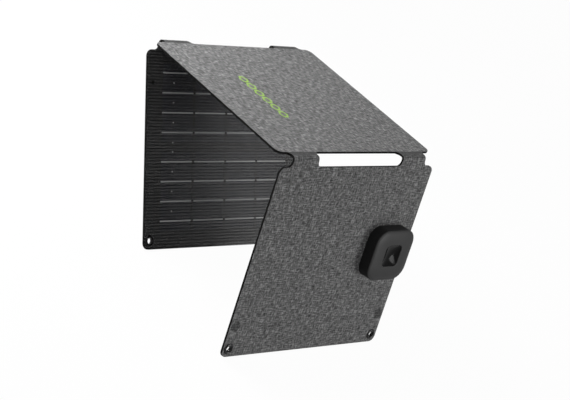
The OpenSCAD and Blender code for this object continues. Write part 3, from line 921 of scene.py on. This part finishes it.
def ring_loft(name, rings, material, dark_below=None, more=()):
    """A closed shell over rounded rectangles (width, length, corner, height), capped at both ends.
    Faces wholly below dark_below take the second material. more holds closed cylinders."""
    place = box_place()
    verts, faces, mats = [], [], []
    n = len(rounded_rect(1, 1, 0.1))
    for w, l, r, z in rings:
        verts += [(x, y, z) for x, y in rounded_rect(w, l, max(r, 0.0002))]
    for k in range(len(rings) - 1):
        for i in range(n):
            j = (i + 1) % n
            faces.append([k * n + i, k * n + j, (k + 1) * n + j, (k + 1) * n + i])
            high = max(rings[k][3], rings[k + 1][3])
            mats.append(1 if dark_below and high <= dark_below + 1e-9 else 0)
    faces += [[i for i in range(n)][::-1], [(len(rings) - 1) * n + i for i in range(n)]]
    mats += [1 if dark_below else 0, 0]
    for x, y, r, low, high in more:
        start = len(verts)
        loop = circle(x, y, r, 24)
        verts += [(a, b, z) for z in (low, high) for a, b in loop]
        for i in range(24):
            j = (i + 1) % 24
            faces.append([start + i, start + j, start + 24 + j, start + 24 + i])
        faces += [[start + i for i in range(24)][::-1], [start + 24 + i for i in range(24)]]
        mats += [1] * 26
    if flat_turn(place) < 0:
        faces = [f[::-1] for f in faces]
    obj = new_mesh(name, [place(*v) for v in verts], faces, material, mats, sharp=40)
    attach(obj, "front_panel")
    return obj


def box_lid():
    """From the tub under the dish, out and over the pillowed face, and down into the dish."""
    base = BOX_H - LID_T
    tub = DISH_W + 2 * DISH_WALL
    rim, dome, lip = base + LID_RIM, BOX_H - base - LID_RIM, LID_LIP
    reach = (BOX_W - DISH_W) / 2 - lip
    rings = [(tub, tub, DISH_R + DISH_WALL, BOX_H - DISH_DEPTH - DISH_WALL),
             (tub, tub, DISH_R + DISH_WALL, base), (BOX_W, BOX_L, BOX_R, base)]
    for i in range(19):
        t = (i / 18) ** 2
        share = (1 - (1 - t) ** 2.8) ** 0.5
        w, l = BOX_W - 2 * reach * t, BOX_L - 2 * (reach - (BOX_W - BOX_L) / 2) * t
        rings.append((w, l, BOX_R + (DISH_R + lip - BOX_R) * t, rim + dome * share))
        if i == 7:
            dark = rings[-1][3]    # the rim's side is black up to here
    for i in range(1, 6):
        a = math.radians(18 * i)
        out = 2 * lip * (1 - math.sin(a))
        rings.append((DISH_W + out, DISH_W + out, DISH_R + out / 2,
                      BOX_H - lip * (1 - math.cos(a))))
    rings.append((DISH_W, DISH_W, DISH_R, BOX_H - DISH_DEPTH))
    bosses = [(sx * SCREW_AT, sy * SCREW_AT, BOSS_R, BOSS_LOW, base)
              for sx in (-1, 1) for sy in (-1, 1)]
    lid = ring_loft("pillow_lid", rings, [MAT["lid_grey"], MAT["box_black"]], dark, bosses)
    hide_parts("box_lid")


def bowl_window():
    """The window's outline is a rounded square, which turns round as the bowl goes down."""
    side, depth = DISH_W - 0.0003, 0.0029
    low, high = BOX_H - DISH_DEPTH, BOX_H - 0.0004
    rings = [(side, side, DISH_R, low), (side, side, DISH_R, high)]
    for i in range(1, 32):
        t = 1 - i / 32
        rounder = min(1, 1.6 * (1 - t))
        corner = t * (DISH_R + (side / 2 - DISH_R) * rounder)
        rings.append((side * t, side * t, corner, high - depth * (1 - t ** 2.3)))
    window = ring_loft("bowl_window", rings, [MAT["window"]])
    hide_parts("dish_window")


# ---- Printed mark: a row of open hexagons ----

def print_mark():
    x0, y0, y1, tall = -0.046, 0.0626, 0.143, 0.0115
    count, stroke, thick = 6, 0.0022, 0.00006
    place = on_panel("middle")
    pitch = (y1 - y0) / count
    verts, faces = [], []
    for i in range(count):
        cy = y0 + pitch * (i + 0.5)
        start = len(verts)
        for z in (CLOTH_Z, CLOTH_Z + thick):
            for r in (0.5, 0.5 - stroke / tall):
                for k in range(6):
                    a = math.radians(60 * k)
                    verts.append(place(x0 + tall * r * math.cos(a),
                                       cy + pitch * 1.02 * r * math.sin(a), z))
        for k in range(6):
            j = (k + 1) % 6
            o, q = start + 12, start
            faces += [[o + k, o + j, o + 6 + j, o + 6 + k], [q + 6 + k, q + 6 + j, q + j, q + k],
                      [q + k, q + j, o + j, o + k], [o + 6 + k, o + 6 + j, q + 6 + j, q + 6 + k]]
    obj = new_mesh("print_mark", verts, faces, [MAT["lime"]])
    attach(obj, "middle_panel")
    return obj


# ---- Carried-over nodes ----

def dress_nodes():
    wanted = {"cells": "cell", "ribbons": "ribbon", "magnets": "magnet"}
    for name, node in frame["nodes"].items():
        for ending, key in wanted.items():
            if name.endswith("_" + ending):
                dress(node, MAT[key])
    for name, key in (("box_base", "box_black"), ("box_lid", "lid_grey"), ("box_seal", "seal"),
                      ("dish_window", "window"), ("circuit_board", "pcb"),
                      ("board_parts", "parts"), ("status_led", "led"),
                      ("charging_sockets", "socket"), ("lid_screws", "screw"),
                      ("panel_leads", "lead")):
        dress(frame["nodes"][name], MAT[key])


def dress(node, material):
    for slot in node.material_slots:
        slot.material = material
    if not node.material_slots:
        node.data.materials.append(material)


# ---- Stage ----

WORLD_SOFT, FLOOR_SIZE, FLOOR_GREY, FLOOR_GLOW = 0.18, 6.0, 0.8, 0.97


def make_camera():
    """The photo's view, from a perspective fit of the panels' edges."""
    right = Vector((0.688994, -0.536790, 0.486975))
    up = Vector((0.019442, 0.685352, 0.727952))
    back = Vector((-0.724506, -0.492087, 0.482640))
    data = bpy.data.cameras.new("camera")
    data.lens, data.sensor_width = 122.0, 36.0
    camera = bpy.data.objects.new("camera", data)
    turn = Matrix((right, up, back)).transposed().to_4x4()
    camera.matrix_world = Matrix.Translation((-1.45137, -1.01276, 1.06713)) @ turn
    bpy.context.scene.collection.objects.link(camera)
    bpy.context.scene.camera = camera


def seen_white(tree):
    """1 for rays that come from the camera, a mirror or glass."""
    path = tree.nodes.new("ShaderNodeLightPath")
    total = path.outputs["Is Camera Ray"]
    for name in ("Is Glossy Ray", "Is Transmission Ray"):
        add = tree.nodes.new("ShaderNodeMath")
        add.operation, add.use_clamp = "ADD", True
        tree.links.new(total, add.inputs[0])
        tree.links.new(path.outputs[name], add.inputs[1])
        total = add.outputs[0]
    return total


def make_world():
    world = bpy.data.worlds.new("world")
    bpy.context.scene.world = world
    world.use_nodes = True
    tree = world.node_tree
    tree.nodes.clear()
    out = tree.nodes.new("ShaderNodeOutputWorld")
    mix = tree.nodes.new("ShaderNodeMixShader")
    soft, white = (tree.nodes.new("ShaderNodeBackground") for _ in range(2))
    soft.inputs["Strength"].default_value = WORLD_SOFT
    white.inputs["Color"].default_value = (1, 1, 1, 1)
    soft.inputs["Color"].default_value = (1, 1, 1, 1)
    tree.links.new(seen_white(tree), mix.inputs[0])
    tree.links.new(soft.outputs[0], mix.inputs[1])
    tree.links.new(white.outputs[0], mix.inputs[2])
    tree.links.new(mix.outputs[0], out.inputs[0])


def make_floor():
    corners = [(x * FLOOR_SIZE, y * FLOOR_SIZE, 0)
               for x, y in ((-1, -1), (1, -1), (1, 1), (-1, 1))]
    mesh = bpy.data.meshes.new("floor")
    mesh.from_pydata(corners, [], [(0, 1, 2, 3)])
    floor = bpy.data.objects.new("floor", mesh)
    bpy.context.scene.collection.objects.link(floor)
    mat = bpy.data.materials.new("floor")
    mat.use_nodes = True
    tree = mat.node_tree
    tree.nodes.clear()
    out = tree.nodes.new("ShaderNodeOutputMaterial")
    paint = tree.nodes.new("ShaderNodeBsdfDiffuse")
    paint.inputs["Color"].default_value = (FLOOR_GREY,) * 3 + (1,)
    glow = tree.nodes.new("ShaderNodeEmission")
    mix = tree.nodes.new("ShaderNodeMixShader")
    share = tree.nodes.new("ShaderNodeMath")
    share.operation = "MULTIPLY"
    share.inputs[1].default_value = FLOOR_GLOW
    tree.links.new(seen_white(tree), share.inputs[0])
    tree.links.new(share.outputs[0], mix.inputs[0])
    tree.links.new(paint.outputs[0], mix.inputs[1])
    tree.links.new(glow.outputs[0], mix.inputs[2])
    tree.links.new(mix.outputs[0], out.inputs[0])
    mesh.materials.append(mat)


def area_light(name, place, target, size, power):
    data = bpy.data.lights.new(name, "AREA")
    data.shape, data.size, data.energy = "DISK", size, power
    lamp = bpy.data.objects.new(name, data)
    lamp.location = place
    aim = Vector(target) - Vector(place)
    lamp.rotation_mode = "QUATERNION"
    lamp.rotation_quaternion = aim.to_track_quat("-Z", "Y")
    bpy.context.scene.collection.objects.link(lamp)


def make_lights():
    area_light("key", (-0.33, 0.50, 0.53), (-0.04, 0.06, 0.19), 0.4, 8.4)
    area_light("fill", (-1.1, -1.4, 0.9), (0, -0.05, 0.1), 1.2, 5)
    area_light("front", (0.80, -1.18, 0.30), (0.08, -0.11, 0.1), 0.5, 8.6)


# ---- The object ----

def build():
    make_materials()
    for panel in FOLDS:
        cloth_layer(panel)
        board_layer(panel)
        sheet_layer(panel)
        film_layer(panel)
        solder_dots(panel)
        if panel in MAGNET_Y:
            eyelet_pair(panel)
            magnet_marks(panel)
    bands = make_band("front", FRONT_GAP, False) + make_band("rear", REAR_GAP, True)
    print_mark()
    box_lid()
    bowl_window()
    dress_nodes()


make_camera()
make_world()
make_floor()
make_lights()
build()
bpy.context.scene.view_settings.view_transform = "Standard"
